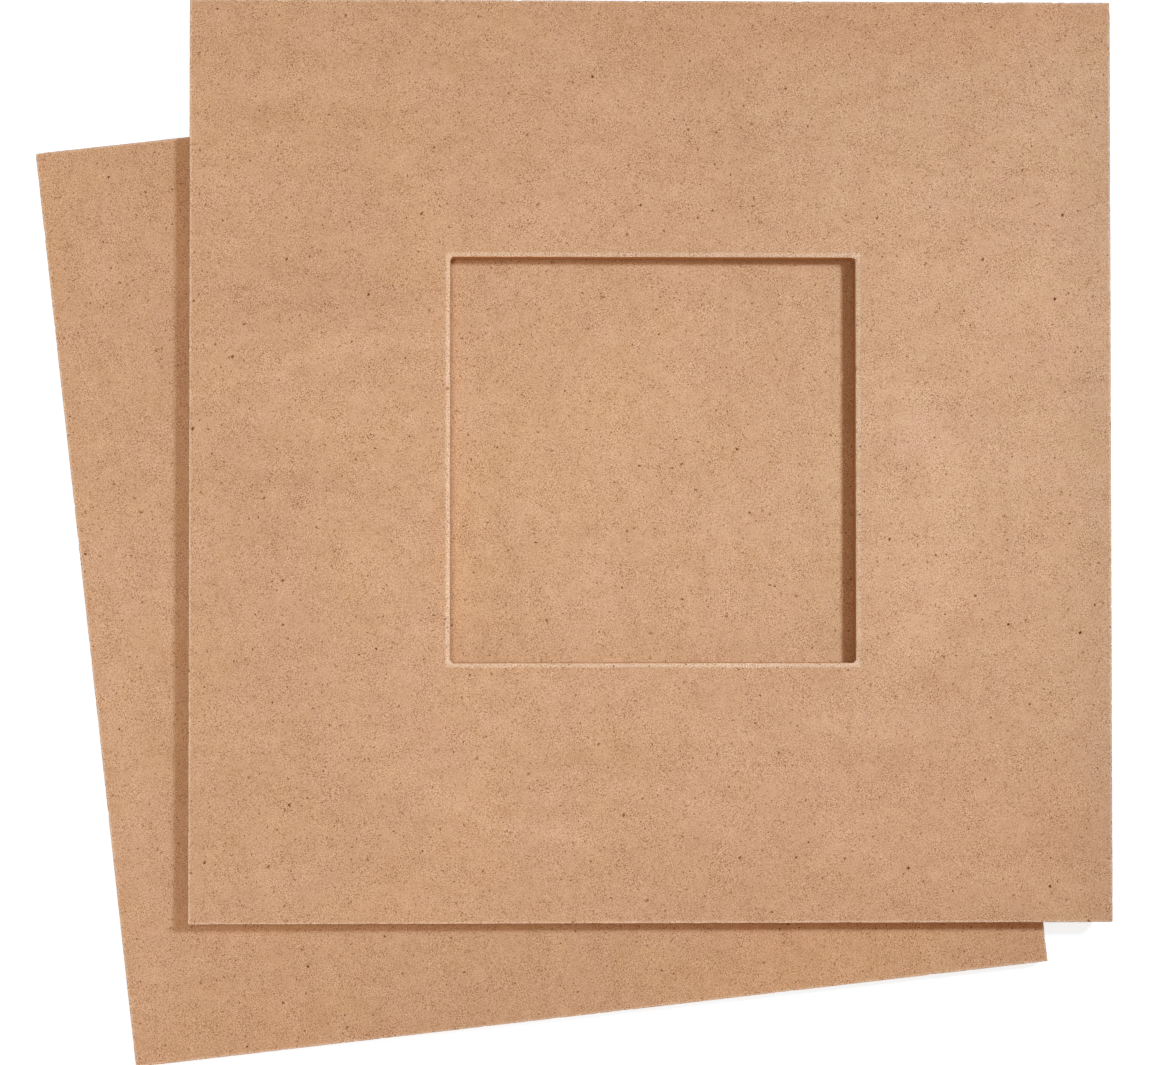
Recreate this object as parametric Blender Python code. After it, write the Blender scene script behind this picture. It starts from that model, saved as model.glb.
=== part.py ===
"""Square photo frame of two loose fibreboards, lying flat and fanned out.

A front board with a square window lies on a plain back board of the same size. The back board is
slid and turned, so that both boards show. Metres, +Z up. The origin is on the table under the middle
of the window, +Y points to the front board's top edge and +X to its right edge.
"""

import math

import bmesh
import bpy
from mathutils import Matrix, Vector

MM = 0.001

# Both boards are cut from one sheet
board_side = 250 * MM
board_thickness = 4 * MM
outer_arris = 0.2 * MM
outer_arris_segments = 2

# The window is clear right through the front board, with corners left by the cutter
window_side = 110 * MM
window_corner_radius = 1.2 * MM
window_corner_segments = 10
window_front_arris = 0.65 * MM
window_back_arris = 0.2 * MM
window_arris_segments = 4

# The front board rests on the back board
seat_gap = 0.3 * MM

# The back board is slid to the lower left and turned to the left, seen from above
fan_left = 29.6 * MM
fan_down = 26.3 * MM
fan_turn = math.radians(6.41)

# How far a cutter runs past the faces that it cuts
cutter_overrun = 2 * MM
# How near a vertex has to lie to a plane to count as on it
plane_tolerance = 0.001 * MM
# How far a wall's normal may lean from level, and the turn from which an edge is shaded sharp
upright_lean = math.radians(45)
sharp_turn = math.radians(30)

front_board_colour = (0.617, 0.366, 0.212, 1)
back_board_colour = (0.590, 0.352, 0.203, 1)
board_roughness = 0.85


def clear_scene():
    for thing in list(bpy.data.objects):
        bpy.data.objects.remove(thing, do_unlink=True)


def new_collection(name):
    collection = bpy.data.collections.new(name)
    bpy.context.scene.collection.children.link(collection)
    return collection


def new_material(name, colour, roughness):
    material = bpy.data.materials.new(name)
    material.use_nodes = True
    shader = material.node_tree.nodes["Principled BSDF"]
    shader.inputs["Base Color"].default_value = colour
    shader.inputs["Roughness"].default_value = roughness
    shader.inputs["Metallic"].default_value = 0
    material.diffuse_color = colour
    return material


def new_block(name, side, bottom, top, collection):
    """A square block centred on its own Z axis, between two heights."""
    shape = bmesh.new()
    bmesh.ops.create_cube(shape, size=1)
    bmesh.ops.scale(shape, vec=Vector((side, side, top - bottom)), verts=shape.verts)
    bmesh.ops.translate(shape, vec=Vector((0, 0, (bottom + top) / 2)), verts=shape.verts)
    mesh = bpy.data.meshes.new(name)
    shape.to_mesh(mesh)
    shape.free()
    block = bpy.data.objects.new(name, mesh)
    collection.objects.link(block)
    return block


def ease(block, picked, width, segments):
    """Round over the edges for which picked(edge) is true."""
    shape = bmesh.new()
    shape.from_mesh(block.data)
    edges = [edge for edge in shape.edges if picked(edge)]
    bmesh.ops.bevel(
        shape,
        geom=edges,
        offset=width,
        offset_type="OFFSET",
        segments=segments,
        profile=0.5,
        affect="EDGES",
        clamp_overlap=True,
    )
    shape.to_mesh(block.data)
    shape.free()


def is_upright(edge):
    start, end = (vert.co for vert in edge.verts)
    return (start.xy - end.xy).length < plane_tolerance


def lies_at(edge, height):
    return all(abs(vert.co.z - height) < plane_tolerance for vert in edge.verts)


def is_window_rim(edge, height):
    """True for the edges where the window's wall meets the face at this height."""
    reach = max(max(abs(vert.co.x), abs(vert.co.y)) for vert in edge.verts)
    if not lies_at(edge, height) or reach > window_side / 2 + plane_tolerance:
        return False
    return any(abs(face.normal.z) < math.sin(upright_lean) for face in edge.link_faces)


def cut(block, cutter):
    """Cut block with cutter, and keep the result as block's own mesh."""
    boolean = block.modifiers.new("window", "BOOLEAN")
    boolean.operation = "DIFFERENCE"
    boolean.solver = "EXACT"
    boolean.object = cutter
    bpy.context.view_layer.update()
    evaluated = block.evaluated_get(bpy.context.evaluated_depsgraph_get())
    whole = block.data
    block.data = bpy.data.meshes.new_from_object(evaluated)
    block.data.name = block.name
    block.modifiers.remove(boolean)
    bpy.data.meshes.remove(whole)


def finish_board(board, material):
    board.data.materials.clear()
    board.data.materials.append(material)
    board.data.shade_smooth()
    board.data.set_sharp_from_angle(angle=sharp_turn)


def make_back_board(parts):
    board = new_block("back_board", board_side, 0, board_thickness, parts)
    ease(board, lambda edge: True, outer_arris, outer_arris_segments)
    finish_board(board, new_material("back_board_fibreboard", back_board_colour, board_roughness))
    return board


def make_front_board(parts, cutters):
    board = new_block("front_board", board_side, 0, board_thickness, parts)
    ease(board, lambda edge: True, outer_arris, outer_arris_segments)
    cutter_top = board_thickness + cutter_overrun
    cutter = new_block("window_cutter", window_side, -cutter_overrun, cutter_top, cutters)
    ease(cutter, is_upright, window_corner_radius, window_corner_segments)
    cutter.hide_render = True
    cutter.display_type = "WIRE"
    cut(board, cutter)
    ease(board, lambda edge: is_window_rim(edge, board_thickness), window_front_arris, window_arris_segments)
    ease(board, lambda edge: is_window_rim(edge, 0), window_back_arris, window_arris_segments)
    finish_board(board, new_material("front_board_fibreboard", front_board_colour, board_roughness))
    return board


def main():
    clear_scene()
    parts = new_collection("square_photo_frame")
    cutters = new_collection("cutters")

    origin = bpy.data.objects.new("table_origin", None)
    parts.objects.link(origin)

    back_board = make_back_board(parts)
    back_board.parent = origin
    fanned_out = Matrix.Translation((-fan_left, -fan_down, 0)) @ Matrix.Rotation(fan_turn, 4, "Z")
    back_board.matrix_world = fanned_out

    front_board = make_front_board(parts, cutters)
    front_board.parent = origin
    front_board.location = (0, 0, board_thickness + seat_gap)
    bpy.context.view_layer.update()


main()
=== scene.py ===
import math
from collections import namedtuple

import bmesh
import bpy
from mathutils import Matrix, Vector, noise


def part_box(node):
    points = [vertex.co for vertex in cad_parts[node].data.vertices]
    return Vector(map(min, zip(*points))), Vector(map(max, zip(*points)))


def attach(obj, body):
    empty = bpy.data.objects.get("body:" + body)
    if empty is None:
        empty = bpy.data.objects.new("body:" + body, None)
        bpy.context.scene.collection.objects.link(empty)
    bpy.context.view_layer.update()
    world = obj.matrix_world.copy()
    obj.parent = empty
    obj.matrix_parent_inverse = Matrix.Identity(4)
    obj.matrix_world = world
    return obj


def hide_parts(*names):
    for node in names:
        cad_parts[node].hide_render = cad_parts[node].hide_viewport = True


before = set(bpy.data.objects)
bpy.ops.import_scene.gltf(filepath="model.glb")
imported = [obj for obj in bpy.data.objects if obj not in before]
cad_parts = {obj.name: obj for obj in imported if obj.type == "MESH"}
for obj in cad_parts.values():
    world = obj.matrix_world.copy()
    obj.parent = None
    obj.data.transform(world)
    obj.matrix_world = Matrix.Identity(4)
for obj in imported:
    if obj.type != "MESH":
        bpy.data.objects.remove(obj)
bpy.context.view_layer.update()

MM = 0.001

# Places and sizes that the frame gives
front_low, front_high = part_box("front_board")
back_low, back_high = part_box("back_board")
front_middle = (front_low + front_high) / 2
back_middle = (back_low + back_high) / 2
board_side = front_high.x - front_low.x
board_thickness = front_high.z - front_low.z


# How far a face's normal may lean for the face to count as upright, and how near to X as facing it
upright_lean = 0.1
facing_part = 0.99


def turn_of(node):
    """How far a board is turned about Z, from the normal of its largest upright face."""
    upright = [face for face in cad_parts[node].data.polygons if abs(face.normal.z) < upright_lean]
    normal = max(upright, key=lambda face: face.area).normal
    quarter = math.pi / 2
    angle = math.atan2(normal.y, normal.x)
    return angle - quarter * round(angle / quarter)


def clear_window_side():
    """Twice the distance of the front board's innermost upright face from its middle."""
    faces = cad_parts["front_board"].data.polygons
    return 2 * min(abs(face.center.x) for face in faces if abs(face.normal.x) > facing_part)


window_side = clear_window_side()

# Edges of the boards, as sawn outside and as routed and sanded in the window, which sits a little off the
# front board's middle. An arris or bevel is its width on the face and its depth down the wall.
outer_arris = (0.14 * MM, 0.14 * MM)
window_bevel = (1.1 * MM, 0.28 * MM)
window_back_arris = (0.2 * MM, 0.2 * MM)
window_corner_radius = 1.2 * MM
window_middle = Vector((0.4 * MM, 0.25 * MM))
front_corner_radii = (0.35 * MM, 0.5 * MM, 0.3 * MM, 0.3 * MM)
back_corner_radii = (0.3 * MM, 0.35 * MM, 0.45 * MM, 0.3 * MM)

# How finely the edges are cut, and how the rings on a face grow coarser away from an edge
fine_cells_each = 8
outer_cells = 48
window_cells = 26
corner_steps = 8
arris_steps = 5
arris_curve = 1.6
sharp_angle = math.radians(40)
wall_steps = 6
face_ring_insets = ((0.08 * MM, 1), (0.6 * MM, 1), (1.5 * MM, 2), (3.2 * MM, 4))
outer_lattice_inset = 7 * MM

# How far an edge strays inwards from straight, as (depth, length of one wave)
edge_waves = ((0.03 * MM, 30 * MM), (0.025 * MM, 2.6 * MM), (0.025 * MM, 0.9 * MM))
chip_depth = 0.16 * MM
chip_spacing = 1.7 * MM
chip_threshold = 0.3
wall_chip_share = 0.3

# Where each board's waver and chips are taken from their noises, and how far on the window's are
front_seed = 3.0
back_seed = 31.0
window_seed_step = 7

# Raw fibreboard. Colours are linear, and sizes on its faces are plain millimetres. Strengths, depths and
# changes are shares of its brightness. Darker fibres are also redder, which the three powers of
# brightness give.
front_tone = (0.623, 0.370, 0.214)
back_tone = (0.590, 0.352, 0.203)
brightness_powers = (1.0, 1.34, 1.76)
mean_brightness = 1.06

# Waves of brightness on a pressed face, finest first, with angles in radians. The uneven ones are rougher
# in some patches than in others, and all have deeper troughs than crests.
Grain = namedtuple("Grain", "size detail stretch angle strength uneven")
Patches = namedtuple("Patches", "size detail strength")
grain_layers = (
    Grain(0.34, 0.0, 1.0, 0.3, 0.76, True),
    Grain(0.95, 1.0, 1.0, 0.9, 0.25, True),
    Grain(3.4, 1.0, 1.2, -0.2, 0.16, False),
    Grain(9.0, 1.0, 1.6, 0.15, 0.12, False),
    Grain(24.0, 1.0, 2.0, -0.1, 0.075, False),
    Grain(70.0, 1.0, 1.6, 0.1, 0.05, False),
)
rougher_patches = (Patches(9.0, 1.0, 1.6),)
trough_depth = 1.1
grain_relief_share = 0.5

# Soft clouds of colour, by how much each of the three colours varies
Cloud = namedtuple("Cloud", "size strength")
hue_layers = (
    Cloud(1.5, (0.0, 0.035, 0.06)),
    Cloud(5.0, (0.0, 0.038, 0.07)),
    Cloud(18.0, (0.0, 0.028, 0.08)),
    Cloud(60.0, (0.0, 0.028, 0.08)),
)

# Dark fibre bundles, of which two kinds crowd in patches. Each one's radius and depth lie between these
# shares of its kind's, and it fades over this share of its radius. A ruffling noise bends their outlines.
Speck = namedtuple("Speck", "spacing radius share crowds angle stretch depth")
speck_kinds = (
    Speck(0.60, 0.16, 0.36, True, 0.3, 1.3, 0.40),
    Speck(1.2, 0.18, 0.38, True, 0.4, 1.7, 0.65),
    Speck(3.2, 0.22, 0.42, False, 1.9, 1.6, 0.82),
    Speck(14.0, 0.40, 0.50, False, 1.1, 1.4, 0.88),
)
crowded_patches = (Patches(6.0, 1.0, 5.0), Patches(1.5, 0.0, 3.0))
speck_radii = (0.6, 1.2)
speck_depths = (0.4, 1.0)
speck_rim = 0.5
ruffle_scale = 2.2
ruffle_reach = 0.7

# Thin dark strands, where a noise crosses zero, in patches where another noise is high
strand_size = 1.7
strand_reach = (0.014, 0.002)
strand_patch_size = 2.3
strand_patch_rise = (0.02, 0.16)
strand_change = -0.26

# Soft marks of the front board's face: place from the middle, length and width, angle in degrees, and
# change of brightness. A mark is whole up to the first of its reaches, in halves of its size, and gone from
# the second. A slow noise makes their outlines drift.
Mark = namedtuple("Mark", "place size angle change")
mark_drift = 14
mark_drift_size = 12
mark_reaches = (0.3, 1.5)
front_marks = (
    Mark((-84, 30), (54, 5), 15, 0.05),
    Mark((-75, 11), (38, 3.5), 9, 0.035),
    Mark((-104, -5.5), (26, 7), 4, -0.05),
    Mark((-82, -8.5), (30, 6), -3, -0.045),
    Mark((-100, -20), (20, 12), 0, -0.025),
    Mark((-92, 101), (66, 5), 1, 0.04),
    Mark((-98, 94), (34, 6), -1, -0.03),
    Mark((-74, 93), (36, 5), 2, -0.03),
    Mark((-95, 46), (52, 26), 0, -0.03),
    Mark((-11, 96), (30, 9), 0, 0.04),
    Mark((-6, 67), (42, 14), 0, 0.035),
    Mark((50, 74), (20, 6), 80, 0.04),
    Mark((71, 71), (66, 20), 88, 0.025),
    Mark((70, -18), (62, 24), 88, 0.035),
    Mark((58, -69), (40, 16), -15, 0.045),
    Mark((-6, -80), (50, 10), 0, -0.035),
    Mark((-45, -95), (68, 5), -20, 0.035),
    Mark((-24, -100), (20, 10), 0, 0.035),
)

# A paler arc on the front board's right side
ring_middle = (35, -17)
ring_radius = 47.5
ring_half_widths = (1.2, 9)
ring_rises = (55, 70)
ring_change = 0.055

# Soft patches, as changes of a board's three colours, and scratches, as changes of brightness. The patches
# are partly the boards' own tone and partly painted light and shade, which evens out and tints the lamps'
# light across each board. Places are from each board's middle, square to it.
front_tone_and_painted_light = (
    Mark((-120, 0), (110, 420), 0, (-0.01, 0.012, 0.03)),
    Mark((-120, -55), (90, 230), 0, (-0.05, -0.042, -0.04)),
    Mark((128, 10), (30, 400), 0, (-0.06, -0.055, -0.05)),
    Mark((82, -102), (90, 40), 0, (0.045, 0.035, 0.03)),
    Mark((60, 125), (200, 30), 0, (0.0, -0.045, -0.08)),
)
back_tone_and_painted_light = (
    Mark((32, 23), (130, 130), 0, (0.065, 0.07, 0.05)),
    Mark((72, -116), (110, 44), 0, (0.07, 0.03, -0.04)),
    Mark((-112, 10), (40, 300), 0, (0.0, 0.025, 0.07)),
)
back_scratches = (
    Mark((51, 28), (6.5, 0.6), -28, 0.08),
    Mark((60.5, 21.5), (12, 0.6), -30, 0.09),
)

# Cut edges, as the squeeze of their noises along X, Y and Z, detail and strength. The window's walls are
# smoother and tinted more orange.
EdgeNoise = namedtuple("EdgeNoise", "squeeze detail strength")
fuzz_size = 0.35
edge_layers = EdgeNoise((0.16, 0.16, 2.4), 2.0, 0.3)
edge_saw_marks = EdgeNoise((2.6, 2.6, 0.12), 1.0, 0.16)
edge_fuzz = EdgeNoise((1 / fuzz_size, 1 / fuzz_size, 1 / fuzz_size), 1.0, 0.3)
sawn_brightness = 0.84
routed_brightness = 1.0
routed_layers_share = 0.35
routed_fuzz_share = 0.6
routed_tint = (0.95, 0.86, 0.7)
routed_margin = 2
saw_mark_relief = 4.0

# Sanding pales the fibres along the edges, and the pale band is also a painted highlight there: wholly as
# far in as the first reach, and not at all beyond the second. The outer reaches are in millimetres, and the
# bevel's in shares of its width.
pale_rim_and_highlight_tint = (1.16, 1.31, 1.5)
rim_raggedness = 0.5
rim_ragged_size = 1.6
outer_rim_reaches = (0.3, 0.9)
bevel_rim_reaches = (0.7, 1.35)

# Where a surface turns from a cut edge to a pressed face, by the upright part of its normal
face_slopes = (0.4, 0.8)
board_roughness = 0.85
board_gloss = 0.1
relief_height = 0.01 * MM


# Outlines and rings


def side_outline(half, start_radius, end_radius, count):
    """The +X side of a square with round corners, from one diagonal to the next, as (place, outward)."""
    arc = corner_steps
    low = half - start_radius
    high = half - end_radius
    points = []
    for step in range(count):
        if step < arc:
            angle = math.pi / 4 * (step / arc - 1)
            outward = Vector((math.cos(angle), math.sin(angle)))
            place = Vector((low, -low)) + outward * start_radius
        elif step <= count - arc:
            outward = Vector((1, 0))
            share = (step - arc) / (count - 2 * arc)
            place = Vector((half, -low + (low + high) * share))
        else:
            angle = math.pi / 4 * (step - count + arc) / arc
            outward = Vector((math.cos(angle), math.sin(angle)))
            place = Vector((high, high)) + outward * end_radius
        points.append((place, outward))
    return points


def outline(half, radii, count):
    """A square with round corners, counter-clockwise from the lower right, as (place, outward)."""
    points = []
    for side in range(4):
        quarter_turn = Matrix.Rotation(side * math.pi / 2, 2)
        for place, outward in side_outline(half, radii[side], radii[(side + 1) % 4], count):
            points.append((quarter_turn @ place, quarter_turn @ outward))
    return points


def even_square(half, count):
    """Points spaced evenly round a sharp square, in the order of outline()."""
    points = []
    for side in range(4):
        quarter_turn = Matrix.Rotation(side * math.pi / 2, 2)
        for step in range(count):
            points.append(quarter_turn @ Vector((half, half * (2 * step / count - 1))))
    return points


def stray(place, seed):
    """How far the edge at this place lies in from straight, never less than zero."""
    depth = 0
    for wave_depth, wave_length in edge_waves:
        sample = Vector((place.x / wave_length, place.y / wave_length, seed))
        depth += wave_depth * (0.5 + 0.5 * noise.noise(sample))
    return depth


def chip(place, seed):
    """How much of an arris has crumbled away at this place, mostly nothing."""
    sample = Vector((place.x / chip_spacing, place.y / chip_spacing, seed))
    return chip_depth * max(0, noise.noise(sample) - chip_threshold) / (1 - chip_threshold)


def join_rings(shape, fine, coarse):
    """Faces between two rings, the second with as many points as the first or with half as many."""
    each = len(fine) // len(coarse)
    for step, start in enumerate(coarse):
        end = coarse[(step + 1) % len(coarse)]
        run = [fine[(step * each + part) % len(fine)] for part in range(each + 1)]
        shape.faces.new(run + [end, start])


def add_lattice(shape, border, cells, height, hole, hole_cells):
    """Square cells inside the ring called border, and outside the ring called hole if there is one."""
    half = max(vert.co.x for vert in border)
    corner = (cells - hole_cells) // 2
    grid = {}

    def take(ring, first, count):
        last = first + count
        for step in range(count):
            grid[last, first + step] = ring[step]
            grid[last - step, last] = ring[count + step]
            grid[first, last - step] = ring[2 * count + step]
            grid[first + step, first] = ring[3 * count + step]

    take(border, 0, cells)
    if hole:
        take(hole, corner, hole_cells)
    in_hole = range(corner, corner + hole_cells) if hole else ()
    for column in range(cells + 1):
        for row in range(cells + 1):
            inside_hole = all(corner < place < corner + hole_cells for place in (column, row))
            if (column, row) not in grid and not inside_hole:
                place = (half * (2 * column / cells - 1), half * (2 * row / cells - 1), height)
                grid[column, row] = shape.verts.new(place)
    for column in range(cells):
        for row in range(cells):
            if column in in_hole and row in in_hole:
                continue
            corners = ((column, row), (column + 1, row), (column + 1, row + 1), (column, row + 1))
            shape.faces.new([grid[key] for key in corners])


def arris(width, depth):
    """Stations over an arris from the face down, as (distance in from the wall, drop, weight of wear)."""
    stations = []
    for step in range(arris_steps + 1):
        share = step / arris_steps
        stations.append((width * (1 - share), depth * share**arris_curve, share))
    return stations


def edge_profile(half, thickness, top_arris, bottom_arris, outwards):
    """Stations down an edge, as (reach from the middle, height, weight of wear), from face to face."""
    stations = []
    for inset, drop, wear in arris(*top_arris):
        stations.append((half - outwards * inset, thickness - drop, wear))
    wall_top = thickness - top_arris[1]
    wall_bottom = bottom_arris[1]
    for step in range(1, wall_steps):
        height = wall_top + (wall_bottom - wall_top) * step / wall_steps
        stations.append((half, height, 0))
    for inset, drop, wear in reversed(arris(*bottom_arris)):
        stations.append((half - outwards * inset, drop, wear))
    return stations


def add_edge(shape, half, radii, cells, top_arris, bottom_arris, outwards, middle, lattice_half, seed):
    """The rings of one edge of a board round its own middle, outwards 1 outside and -1 in the window.

    Returns the coarse ring on the top face and the one on the bottom face.
    """
    count = cells * fine_cells_each
    stations = edge_profile(half, board_thickness, top_arris, bottom_arris, outwards)
    nominal = [place for place, _ in outline(half, radii, count)]
    rings = []
    for reach, height, arris_weight in stations:
        shift = reach - half
        ring_outline = outline(reach, [radius + shift for radius in radii], count)
        places = []
        heights = []
        for base, (place, outward) in zip(nominal, ring_outline):
            worn = chip(base, seed + height / board_thickness) * (wall_chip_share + arris_weight)
            inwards = stray(base, seed) + worn
            places.append(middle + place - outward * inwards * outwards)
            toward_middle = board_thickness / 2 - height
            heights.append(height + math.copysign(worn, toward_middle))
        ring = []
        for place, height_here in zip(places, heights):
            ring.append(shape.verts.new((place.x, place.y, height_here)))
        rings.append(ring)
    for upper, lower in zip(rings, rings[1:]):
        join_rings(shape, upper, lower)
    ends = []
    for ring, height in ((rings[0], board_thickness), (rings[-1], 0)):
        ends.append(grade(shape, ring, height, cells, outwards, lattice_half))
    return ends


def grade(shape, rim, height, cells, outwards, lattice_half):
    """Rings on a face from a fine rim to an evenly spaced coarse square, halving their points."""
    last = rim
    count = len(rim) // 4
    span = abs(max(vert.co.x for vert in rim) - lattice_half)
    start = [vert.co.xy.copy() for vert in rim]
    square = even_square(lattice_half, count)
    for inset, divide in (*face_ring_insets, (span, fine_cells_each)):
        ring = []
        for place, goal in zip(start[::divide], square[::divide]):
            spot = place.lerp(goal, inset / span)
            ring.append(shape.verts.new((spot.x, spot.y, height)))
        join_rings(shape, last, ring)
        last = ring
    return last


def make_board(name, radii, windowed, seed):
    """A finely edged board centred on its own Z axis, its underside at zero."""
    shape = bmesh.new()
    lattice_half = board_side / 2 - outer_arris[0] - outer_lattice_inset
    outer = add_edge(
        shape,
        board_side / 2,
        radii,
        outer_cells,
        outer_arris,
        outer_arris,
        1,
        Vector((0, 0)),
        lattice_half,
        seed,
    )
    hole_cells = window_cells if windowed else 0
    holes = (None, None)
    if windowed:
        hole_half = lattice_half * window_cells / outer_cells
        window_radii = [window_corner_radius] * 4
        holes = add_edge(
            shape,
            window_side / 2,
            window_radii,
            window_cells,
            window_bevel,
            window_back_arris,
            -1,
            window_middle,
            hole_half,
            seed + window_seed_step,
        )
    for border, hole, height in zip(outer, holes, (board_thickness, 0)):
        add_lattice(shape, border, outer_cells, height, hole, hole_cells)
    bmesh.ops.recalc_face_normals(shape, faces=shape.faces)
    mesh = bpy.data.meshes.new(name)
    shape.to_mesh(mesh)
    shape.free()
    mesh.shade_smooth()
    mesh.set_sharp_from_angle(angle=sharp_angle)
    board = bpy.data.objects.new(name, mesh)
    bpy.context.scene.collection.objects.link(board)
    return board


# Materials


class Web:
    """The nodes of one material, made by a short call for each kind that the boards need."""

    def __init__(self, name):
        self.material = bpy.data.materials.new(name)
        self.material.use_nodes = True
        self.tree = self.material.node_tree
        self.shader = self.tree.nodes["Principled BSDF"]

    def feed(self, socket, value):
        if isinstance(value, bpy.types.NodeSocket):
            self.tree.links.new(value, socket)
        else:
            socket.default_value = value

    def node(self, kind, inputs, **settings):
        made = self.tree.nodes.new(kind)
        for setting, value in settings.items():
            setattr(made, setting, value)
        for socket, value in inputs.items():
            self.feed(made.inputs[socket], value)
        return made

    def math(self, operation, first, second=0.0):
        return self.node("ShaderNodeMath", {0: first, 1: second}, operation=operation).outputs[0]

    def add(self, first, *others):
        for other in others:
            first = self.math("ADD", first, other)
        return first

    def times(self, first, second):
        return self.math("MULTIPLY", first, second)

    def vector(self, operation, *operands):
        return self.node("ShaderNodeVectorMath", dict(enumerate(operands)), operation=operation).outputs[0]

    def length(self, vector):
        return self.node("ShaderNodeVectorMath", {0: vector}, operation="LENGTH").outputs["Value"]

    def turned(self, place, angle, stretch=(1, 1, 1)):
        inputs = {"Vector": place, "Rotation": (0, 0, angle), "Scale": stretch}
        return self.node("ShaderNodeMapping", inputs, vector_type="TEXTURE").outputs[0]

    def noise(self, place, size, detail=0.0, dimensions="2D"):
        """Soft noise about zero, of features this size, between about -0.5 and 0.5."""
        inputs = {"Vector": place, "Scale": 1 / size, "Detail": detail, "Roughness": 1.0}
        made = self.node("ShaderNodeTexNoise", inputs, noise_dimensions=dimensions)
        return self.add(made.outputs["Fac"], -0.5)

    def colour_noise(self, place, scale):
        """Three soft noises about zero, as a vector."""
        inputs = {"Vector": place, "Scale": scale, "Detail": 1.0}
        made = self.node("ShaderNodeTexNoise", inputs, noise_dimensions="2D")
        return self.vector("SUBTRACT", made.outputs["Color"], (0.5, 0.5, 0.5))

    def between(self, value, low, high):
        """Zero below low, one above high, and smooth between; falling if low is above high."""
        inputs = {"Value": value, "From Min": low, "From Max": high}
        return self.node("ShaderNodeMapRange", inputs, interpolation_type="SMOOTHSTEP").outputs["Result"]

    def mix(self, factor, first, second):
        made = self.node("ShaderNodeMix", {"Factor": factor}, data_type="RGBA")
        for socket, value in ((made.inputs[6], first), (made.inputs[7], second)):
            self.feed(socket, (*value, 1) if isinstance(value, tuple) else value)
        return made.outputs[2]

    def grey(self, value):
        """A number as a vector with three equal parts, to multiply a colour by."""
        return self.node("ShaderNodeCombineXYZ", {0: value, 1: value, 2: value}).outputs[0]

    def within(self, chance, low, high):
        """A chance from 0 to 1 as a number from low to high."""
        return self.add(self.times(chance, high - low), low)

    def specks(self, place, spacing, radius, share, angle, stretch):
        """Blots scattered at random, 1 in their middle, in this share of the cells of a Voronoi pattern."""
        laid = self.turned(place, angle, (stretch, 1, 1))
        inputs = {"Vector": laid, "Scale": 1 / spacing}
        cells = self.node("ShaderNodeTexVoronoi", inputs, voronoi_dimensions="2D").outputs
        chance = self.node("ShaderNodeSeparateColor", {0: cells["Color"]}).outputs
        own_radius = self.times(self.within(chance[0], *speck_radii), radius / spacing)
        nearness = self.math("SUBTRACT", 1.0, self.math("DIVIDE", cells["Distance"], own_radius))
        blot = self.between(nearness, 0.0, speck_rim)
        chosen = self.math("LESS_THAN", chance[1], share)
        return self.times(self.times(blot, chosen), self.within(chance[2], *speck_depths))


def ragged(web, own_place):
    """Places on a face, drifted so that round outlines drawn with them come out ragged."""
    noise_inputs = {"Vector": own_place, "Scale": 1 / mark_drift_size, "Detail": 3.0}
    drift = web.node("ShaderNodeTexNoise", noise_inputs).outputs["Color"]
    half = mark_drift / 2
    drift = web.vector("MULTIPLY_ADD", drift, (mark_drift, mark_drift, 0), (-half, -half, 0))
    return web.vector("MULTIPLY_ADD", own_place, (1, 1, 0), drift)


def soft_mark(web, place, mark):
    """An elliptical mark, 1 in its middle and fading out evenly."""
    inputs = {
        "Vector": place,
        "Location": (*mark.place, 0),
        "Rotation": (0, 0, math.radians(mark.angle)),
        "Scale": (mark.size[0] / 2, mark.size[1] / 2, 1),
    }
    inside = web.node("ShaderNodeMapping", inputs, vector_type="TEXTURE").outputs[0]
    whole, gone = mark_reaches
    return web.between(web.length(inside), gone, whole)


def ring_mark(web, own_place):
    """The change of brightness by the arc on the front board."""
    from_middle = web.vector("SUBTRACT", own_place, (*ring_middle, 0))
    reach = web.length(web.vector("MULTIPLY", from_middle, (1, 1, 0)))
    off_ring = web.math("ABSOLUTE", web.add(reach, -ring_radius))
    whole, gone = ring_half_widths
    across = web.node("ShaderNodeSeparateXYZ", {0: own_place}).outputs[0]
    ring = web.times(web.between(off_ring, gone, whole), web.between(across, *ring_rises))
    return web.times(ring, ring_change)


def uneven(web, place, layers):
    """A factor about 1 that soft noises make larger in some patches and smaller in others."""
    waves = [web.times(web.noise(place, layer.size, layer.detail), layer.strength) for layer in layers]
    return web.add(1.0, *waves)


def face_grain(web, place):
    """The waves of brightness of a pressed face, finest first."""
    roughening = uneven(web, place, rougher_patches)
    waves = []
    for layer in grain_layers:
        laid = web.turned(place, layer.angle, (layer.stretch, 1, 1))
        strength = web.times(roughening, layer.strength) if layer.uneven else layer.strength
        wave = web.times(web.noise(laid, layer.size, layer.detail), strength)
        waves.append(web.times(wave, web.math("SUBTRACT", 1.0, web.times(wave, trough_depth))))
    return waves


def face_specks(web, place, ruffled):
    """How dark the dark fibre bundles make a pressed face, 0 between them."""
    crowding = uneven(web, place, crowded_patches)
    dark = None
    for kind in speck_kinds:
        share = web.times(crowding, kind.share) if kind.crowds else kind.share
        specks = web.specks(ruffled, kind.spacing, kind.radius, share, kind.angle, kind.stretch)
        specks = web.times(specks, kind.depth)
        dark = specks if dark is None else web.math("MAXIMUM", dark, specks)
    return dark


def face_strands(web, place, ruffled):
    """The change of brightness by the thin dark strands of a pressed face."""
    crossing = web.math("ABSOLUTE", web.noise(ruffled, strand_size))
    patch = web.between(web.noise(place, strand_patch_size), *strand_patch_rise)
    return web.times(web.times(web.between(crossing, *strand_reach), patch), strand_change)


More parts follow.
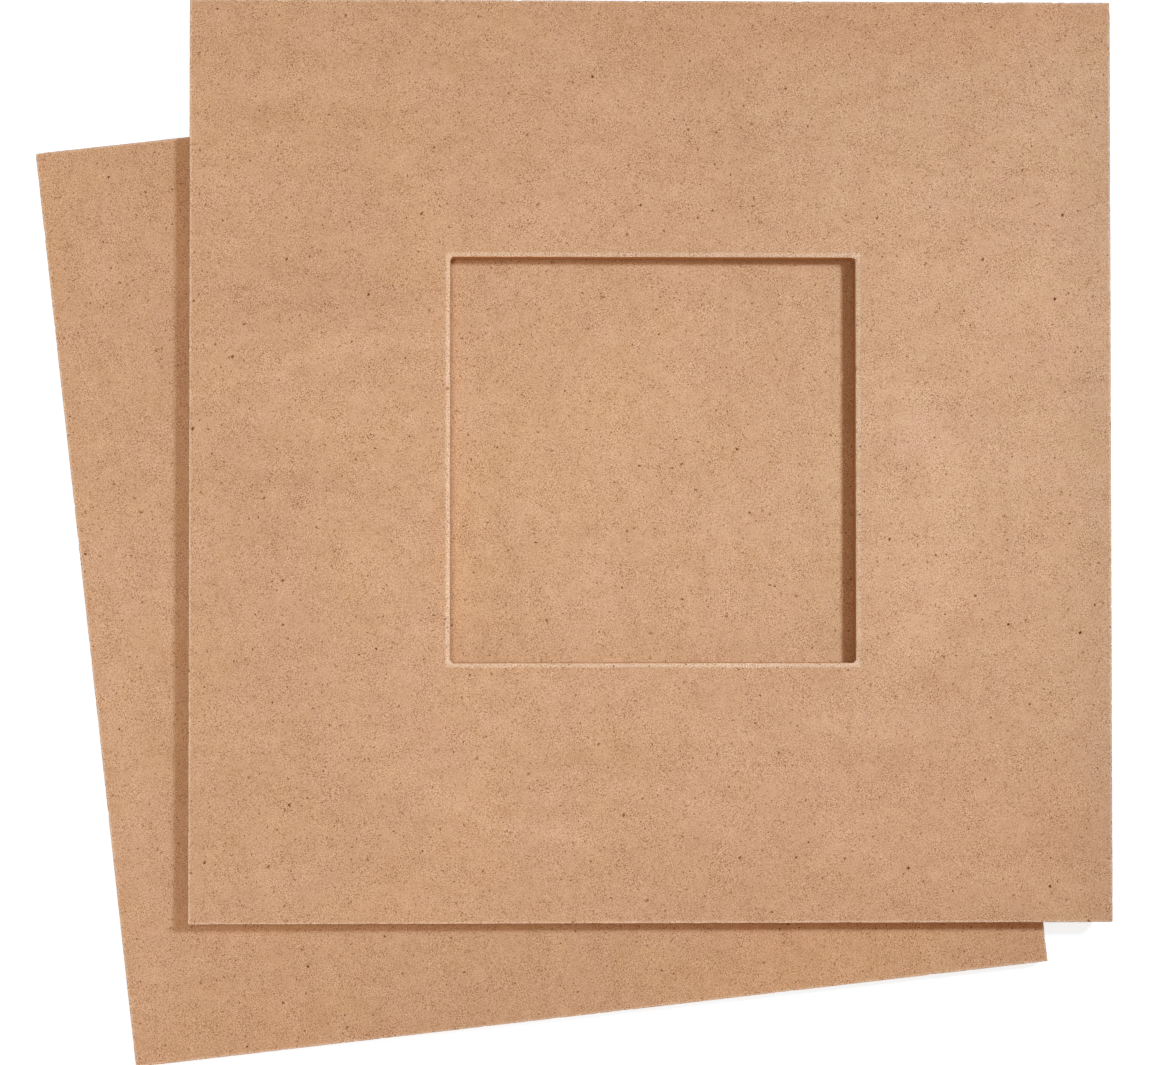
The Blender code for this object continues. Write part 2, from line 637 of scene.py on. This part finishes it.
def face_hue(web, place, ragged_place, tone_and_light_patches):
    """What the soft clouds of colour and the patches of tone and painted light of a pressed face multiply
    its colour by.
    """
    hue = (1.0, 1.0, 1.0)
    for layer in hue_layers:
        cloud = web.colour_noise(place, 1 / layer.size)
        hue = web.vector("MULTIPLY_ADD", cloud, layer.strength, hue)
    # Patches of the boards' own tone and of painted light and shade, which even out and tint the lamps'
    # light
    for tone_and_light_patch in tone_and_light_patches:
        patch_share = web.grey(soft_mark(web, ragged_place, tone_and_light_patch))
        hue = web.vector("MULTIPLY_ADD", patch_share, tone_and_light_patch.change, hue)
    return hue


def pressed_face(web, place, own_place, tone, windowed):
    """The colour of a board's pressed and sanded face, and its relief."""
    ruffle = web.vector("MULTIPLY", web.colour_noise(place, ruffle_scale), (ruffle_reach, ruffle_reach, 0))
    ruffled = web.vector("ADD", place, ruffle)
    ragged_place = ragged(web, own_place)
    mark_place = ragged_place if windowed else own_place
    marks = front_marks if windowed else back_scratches
    changes = [web.times(soft_mark(web, mark_place, mark), mark.change) for mark in marks]
    if windowed:
        changes.append(ring_mark(web, own_place))

    waves = face_grain(web, place)
    brightness = web.add(mean_brightness, *waves, face_strands(web, place, ruffled), *changes)
    darkening = web.math("SUBTRACT", 1.0, face_specks(web, place, ruffled))
    brightness = web.times(brightness, darkening)
    colour = web.vector("POWER", web.grey(brightness), brightness_powers)
    # The hue includes patches of painted light and shade as well as the boards' own tone
    hue = face_hue(web, place, ragged_place, front_tone_and_painted_light if windowed else back_tone_and_painted_light)
    colour = web.vector("MULTIPLY", web.vector("MULTIPLY", colour, hue), tone)
    relief = web.add(web.times(waves[0], grain_relief_share), waves[1])
    return colour, relief


def edge_noise(web, own_place, kind):
    """One of the noises of brightness on a cut edge."""
    laid = web.vector("MULTIPLY", own_place, kind.squeeze)
    return web.times(web.noise(laid, 1.0, kind.detail, "3D"), kind.strength)


def cut_edge(web, own_place, tone, windowed):
    """The colour of a board's cut edges and their relief: layers, saw marks and the paler routed window."""
    layers = edge_noise(web, own_place, edge_layers)
    saw_marks = edge_noise(web, own_place, edge_saw_marks)
    fuzz = edge_noise(web, own_place, edge_fuzz)
    brightness = web.add(sawn_brightness, layers, saw_marks, fuzz)
    if windowed:
        window_reach = window_side / 2 / MM + routed_margin
        in_window = web.math("LESS_THAN", reach_from(web, own_place, (0, 0, 0)), window_reach)
        routed_layers = web.times(layers, routed_layers_share)
        routed = web.add(routed_brightness, routed_layers, web.times(fuzz, routed_fuzz_share))
        brightness = web.node("ShaderNodeMix", {"Factor": in_window, 2: brightness, 3: routed}).outputs[0]
    colour = web.vector("MULTIPLY", web.vector("POWER", web.grey(brightness), brightness_powers), tone)
    if windowed:
        colour = web.mix(in_window, colour, web.vector("MULTIPLY", colour, routed_tint))
    return colour, web.add(web.times(saw_marks, saw_mark_relief), layers)


def reach_from(web, own_place, middle):
    """How far out a place lies along X or Y, whichever is more, in millimetres."""
    away = web.vector("ABSOLUTE", web.vector("SUBTRACT", own_place, middle))
    parts = web.node("ShaderNodeSeparateXYZ", {0: away}).outputs
    return web.math("MAXIMUM", parts[0], parts[1])


def rim(web, own_place, windowed):
    """How far a face is paled by sanding and by a painted highlight, 1 on the window's bevel and along the
    outer edges.
    """
    unevenness = web.times(web.noise(own_place, rim_ragged_size, 1.0), rim_raggedness)
    whole, gone = outer_rim_reaches
    outer_gap = web.math("SUBTRACT", board_side / 2 / MM, reach_from(web, own_place, (0, 0, 0)))
    pale = web.between(web.add(outer_gap, unevenness), gone, whole)
    if windowed:
        whole, gone = (reach * window_bevel[0] / MM for reach in bevel_rim_reaches)
        middle = (window_middle.x / MM, window_middle.y / MM, 0)
        bevel_gap = web.add(reach_from(web, own_place, middle), -window_side / 2 / MM)
        pale = web.math("MAXIMUM", pale, web.between(web.add(bevel_gap, unevenness), gone, whole))
    return pale


def fibreboard(name, tone, shift, turn, windowed):
    """Raw fibreboard: matt pressed faces, cut edges with the board's layers, and paler arrises, sanded and
    painted with a highlight.
    """
    web = Web(name)
    coordinates = web.node("ShaderNodeTexCoord", {})
    own_place = web.vector("MULTIPLY", coordinates.outputs["Object"], (1 / MM, 1 / MM, 1 / MM))
    place = web.vector("ADD", web.turned(own_place, turn), shift)
    face, face_relief = pressed_face(web, place, own_place, tone, windowed)
    cut, cut_relief = cut_edge(web, own_place, tone, windowed)

    slope = web.node("ShaderNodeSeparateXYZ", {0: coordinates.outputs["Normal"]}).outputs[2]
    on_face = web.between(web.math("ABSOLUTE", slope), *face_slopes)
    # The pale rim along the edges is sanded fibres and a painted highlight
    face = web.mix(rim(web, own_place, windowed), face, web.vector("MULTIPLY", face, pale_rim_and_highlight_tint))
    colour = web.mix(on_face, cut, face)
    web.feed(web.shader.inputs["Base Color"], colour)
    web.shader.inputs["Specular IOR Level"].default_value = board_gloss
    web.shader.inputs["Roughness"].default_value = board_roughness
    relief = web.node("ShaderNodeMix", {"Factor": on_face, 2: cut_relief, 3: face_relief}).outputs[0]
    bump = web.node("ShaderNodeBump", {"Strength": 1.0, "Distance": relief_height, "Height": relief})
    web.feed(web.shader.inputs["Normal"], bump.outputs["Normal"])
    return web.material


# The two boards, each with its own stretch of noise, in millimetres

front_shift = (11, 23, 5)
back_shift = (211, -97, 53)

front = make_board("front_board_sheet", front_corner_radii, True, front_seed)
front.matrix_world = Matrix.Translation((front_middle.x, front_middle.y, front_low.z))
front.data.materials.append(fibreboard("front_fibreboard", front_tone, front_shift, 0.0, True))
back = make_board("back_board_sheet", back_corner_radii, False, back_seed)
back_turn = Matrix.Rotation(turn_of("back_board"), 4, "Z")
back.matrix_world = Matrix.Translation((back_middle.x, back_middle.y, back_low.z)) @ back_turn
back.data.materials.append(fibreboard("back_fibreboard", back_tone, back_shift, math.pi / 2, False))

for board, body, node in ((front, "front", "front_board"), (back, "back", "back_board")):
    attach(board, body)
    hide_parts(node)


# Camera, as fitted to the boards' corners in the photograph

camera_place = Vector((-26.28 * MM, -23.74 * MM, 453.8 * MM))
camera_aim = Vector((-20.76 * MM, -19.41 * MM, front_high.z))
lens_length = 51.58
sensor_width = 36
nearest_seen = 0.01

camera_data = bpy.data.cameras.new("camera")
camera_data.lens = lens_length
camera_data.sensor_width = sensor_width
camera_data.clip_start = nearest_seen
camera = bpy.data.objects.new("camera", camera_data)
bpy.context.scene.collection.objects.link(camera)
depth_axis = (camera_place - camera_aim).normalized()
right_axis = Vector((0, 1, 0)).cross(depth_axis).normalized()
up_axis = depth_axis.cross(right_axis)
camera_turn = Matrix((right_axis, up_axis, depth_axis)).transposed().to_4x4()
camera.matrix_world = Matrix.Translation(camera_place) @ camera_turn
bpy.context.scene.camera = camera


# Lights, with places and sizes in metres. Their colours are shares of the light at which a colour renders as
# it is written. They add up to white on a lit face, and leave each shadow as warm as in the photograph.

white_irradiance = math.pi
lamps = (
    {
        "name": "key",
        "place": Vector((0.45, 0.228, 0.50)),
        "target": Vector((-0.017, -0.078, 0)),
        "shape": "DISK",
        "size": (0.13, 0.13),
        "spread": math.radians(85),
        "light": Vector((0.731, 0.867, 0.994)),
    },
    {
        "name": "high_left",
        "place": Vector((-0.287, 0.02, 0.8)),
        "target": Vector((-0.6, 0.003, 0)),
        "shape": "RECTANGLE",
        "size": (0.4, 0.4),
        "spread": math.radians(100),
        "light": Vector((0.935, 0.885, 0.805)),
    },
    {
        "name": "front_fill",
        "place": Vector((0.0, -0.45, 0.25)),
        "target": Vector((0.04, -0.12, 0)),
        "shape": "RECTANGLE",
        "size": (0.5, 0.2),
        "spread": math.radians(180),
        "light": Vector((0.16, 0.11, 0.09)),
    },
)
room_light = (0.225, 0.133, 0.07)


def gathered(spread):
    """How many times brighter the middle of a lamp's beam is at this spread than at a half turn."""
    half = spread / 2
    if half >= math.pi / 2:
        return 1
    return math.tan(half) / (math.tan(half) - half)


def add_lamp(name, place, target, shape, size, spread, light):
    """An area lamp that gives this light at its target, on a surface that faces it."""
    ray = target - place
    data = bpy.data.lights.new(name, "AREA")
    data.shape = shape
    data.size, data.size_y = size
    data.spread = spread
    data.energy = white_irradiance * math.pi * ray.length_squared * max(light) / gathered(spread)
    data.color = light / max(light)
    lamp = bpy.data.objects.new(name, data)
    lamp.location = place
    lamp.rotation_euler = ray.to_track_quat("-Z", "Y").to_euler()
    lamp.visible_camera = False
    bpy.context.scene.collection.objects.link(lamp)


def seen_by_rays(tree):
    """A socket that is 1 where a surface is seen directly, mirrored or through glass, and otherwise 0."""
    path = tree.nodes.new("ShaderNodeLightPath")
    seen = path.outputs["Is Camera Ray"]
    for kind in ("Is Glossy Ray", "Is Transmission Ray"):
        either = tree.nodes.new("ShaderNodeMath")
        either.operation = "MAXIMUM"
        tree.links.new(seen, either.inputs[0])
        tree.links.new(path.outputs[kind], either.inputs[1])
        seen = either.outputs[0]
    return seen


def mix_shaders(tree, factor, first, second):
    mixed = tree.nodes.new("ShaderNodeMixShader")
    for socket, source in zip(mixed.inputs, (factor, first, second)):
        tree.links.new(source, socket)
    return mixed.outputs[0]


def new_shader(tree, kind, **inputs):
    shader = tree.nodes.new(kind)
    for name, value in inputs.items():
        shader.inputs[name].default_value = value
    return shader


for lamp in lamps:
    add_lamp(**lamp)

world = bpy.data.worlds.new("studio")
bpy.context.scene.world = world
world.use_nodes = True
tree = world.node_tree
room = new_shader(tree, "ShaderNodeBackground", Color=(*room_light, 1), Strength=1)
white = new_shader(tree, "ShaderNodeBackground", Color=(1, 1, 1, 1), Strength=1)
surface = mix_shaders(tree, seen_by_rays(tree), room.outputs[0], white.outputs[0])
tree.links.new(surface, tree.nodes["World Output"].inputs["Surface"])


# Floor, seen as white but for the object's faint shadow. It glows fully only away from the object.

floor_half = 4
floor_colour = (0.85, 0.85, 0.85, 1)
shadow_depth = (0.36, 0.47, 0.58, 1)
own_glow = 0.78
glow_rises_from = 0.2
glow_full_from = 0.45

floor_data = bpy.data.meshes.new("floor")
floor_shape = bmesh.new()
bmesh.ops.create_grid(floor_shape, x_segments=1, y_segments=1, size=floor_half)
floor_shape.to_mesh(floor_data)
floor_shape.free()
floor = bpy.data.objects.new("floor", floor_data)
bpy.context.scene.collection.objects.link(floor)

floor_paper = Web("floor_paper")
tree = floor_paper.tree
place = floor_paper.node("ShaderNodeTexCoord", {}).outputs["Object"]
glow_inputs = {
    "Value": floor_paper.length(place),
    "From Min": glow_rises_from,
    "From Max": glow_full_from,
    "To Min": own_glow,
    "To Max": 1.0,
}
glow = floor_paper.node("ShaderNodeMapRange", glow_inputs).outputs["Result"]
glowing = floor_paper.node("ShaderNodeEmission", {"Color": (1, 1, 1, 1), "Strength": glow})
shaded = new_shader(tree, "ShaderNodeBsdfDiffuse", Color=shadow_depth)
lighting = new_shader(tree, "ShaderNodeBsdfDiffuse", Color=floor_colour)
shown = floor_paper.node("ShaderNodeAddShader", {0: glowing.outputs[0], 1: shaded.outputs[0]})
surface = mix_shaders(tree, seen_by_rays(tree), lighting.outputs[0], shown.outputs[0])
tree.links.new(surface, tree.nodes["Material Output"].inputs["Surface"])
floor.data.materials.append(floor_paper.material)

bpy.context.scene.view_settings.view_transform = "Standard"

bpy.context.view_layer.update()
